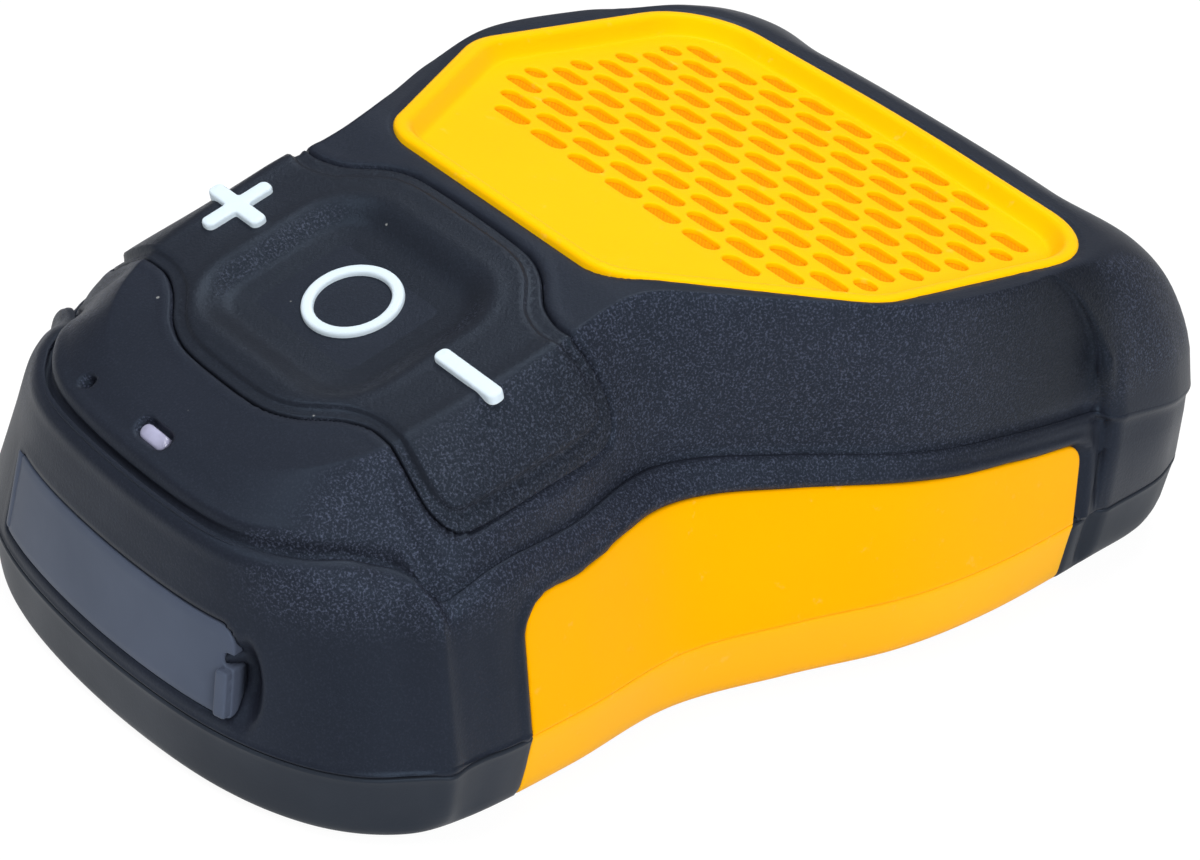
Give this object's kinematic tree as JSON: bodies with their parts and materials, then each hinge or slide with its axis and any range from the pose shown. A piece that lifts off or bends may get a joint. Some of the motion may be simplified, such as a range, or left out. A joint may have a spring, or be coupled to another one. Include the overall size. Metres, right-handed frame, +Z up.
{
  "type": "bluetooth speaker",
  "caption": "palm-size rugged wireless speaker with a black rubber shell, yellow perforated grille and side panels, raised white keys and a rubber port door",
  "frame": {"origin": "centre of the footprint, on the plane of the base pad", "axes": "+X to the side with the minus key, +Y from the port end to the grille end, +Z up out of the grille face"},
  "size_m": [0.0724, 0.1106, 0.0408],
  "materials": {
    "black_rubber": "fine-grained matt",
    "grey_rubber": "smooth satin",
    "seal_rubber": "soft matt",
    "yellow_plastic": "satin moulded",
    "pale_yellow_plastic": "satin moulded",
    "orange_cloth": "fine weave",
    "white_plastic": "satin moulded",
    "lens_plastic": "clouded clear",
    "board_laminate": "solder mask",
    "tin_plate": "bright tin",
    "black_plastic": "matt moulded",
    "cell_wrap": "shrink film",
    "frame_paint": "satin black",
    "cone_paper": "pressed fibre",
    "copper_winding": "lacquered wire",
    "plated_steel": "zinc plated",
    "ferrite": "ground matt"
  },
  "bodies": {
    "housing": {"front_housing": "black_rubber", "rear_housing": "black_rubber", "case_seal": "seal_rubber", "base_pad": "grey_rubber", "grille": "yellow_plastic", "grille_cloth": "orange_cloth", "side_panel_right": "yellow_plastic", "side_panel_left": "yellow_plastic", "base_panel_right": "pale_yellow_plastic", "base_panel_left": "pale_yellow_plastic", "keypad": "black_rubber", "key_board": "board_laminate", "key_switches": "tin_plate", "led_lens": "lens_plastic", "mic_capsule": "tin_plate", "usb_socket": "tin_plate", "usb_tongue": "black_plastic", "main_board": "board_laminate", "radio_module": "tin_plate", "battery_pack": "cell_wrap", "battery_pad": "seal_rubber", "driver_gasket": "seal_rubber", "driver_frame": "frame_paint", "driver_surround": "seal_rubber", "pole_plate": "plated_steel", "driver_magnet": "ferrite", "driver_yoke": "plated_steel", "driver_screws": "plated_steel", "board_screws": "plated_steel", "case_screws": "plated_steel"},
    "plus_button": {"plus_key": "white_plastic"},
    "play_button": {"play_key": "black_rubber", "play_ring": "white_plastic"},
    "minus_button": {"minus_key": "white_plastic"},
    "port_door": {"usb_flap": "grey_rubber"},
    "diaphragm": {"driver_cone": "cone_paper", "dust_cap": "cone_paper", "voice_coil": "copper_winding"}
  },
  "joints": [
    {"name": "plus_press", "type": "slide", "parent": "housing", "child": "plus_button", "axis": [0, 0.274, -0.9617], "range_m": [0, 0.0006], "stiffness_N_per_m": 2500},
    {"name": "play_press", "type": "slide", "parent": "housing", "child": "play_button", "axis": [0, 0.274, -0.9617], "range_m": [0, 0.0006], "stiffness_N_per_m": 2500},
    {"name": "minus_press", "type": "slide", "parent": "housing", "child": "minus_button", "axis": [0, 0.274, -0.9617], "range_m": [0, 0.0006], "stiffness_N_per_m": 2500},
    {"name": "door_swing", "type": "hinge", "parent": "housing", "child": "port_door", "pos_m": [-0.01698, -0.0524, 0.0098], "axis": [-0.0795, -0.1132, -0.9904], "range_deg": [0, 100]},
    {"name": "cone_stroke", "type": "slide", "parent": "housing", "child": "diaphragm", "axis": [0, 0.1392, 0.9903], "range_m": [-0.0008, 0.0008], "stiffness_N_per_m": 1500, "deforming": ["driver_surround"]}
  ]
}
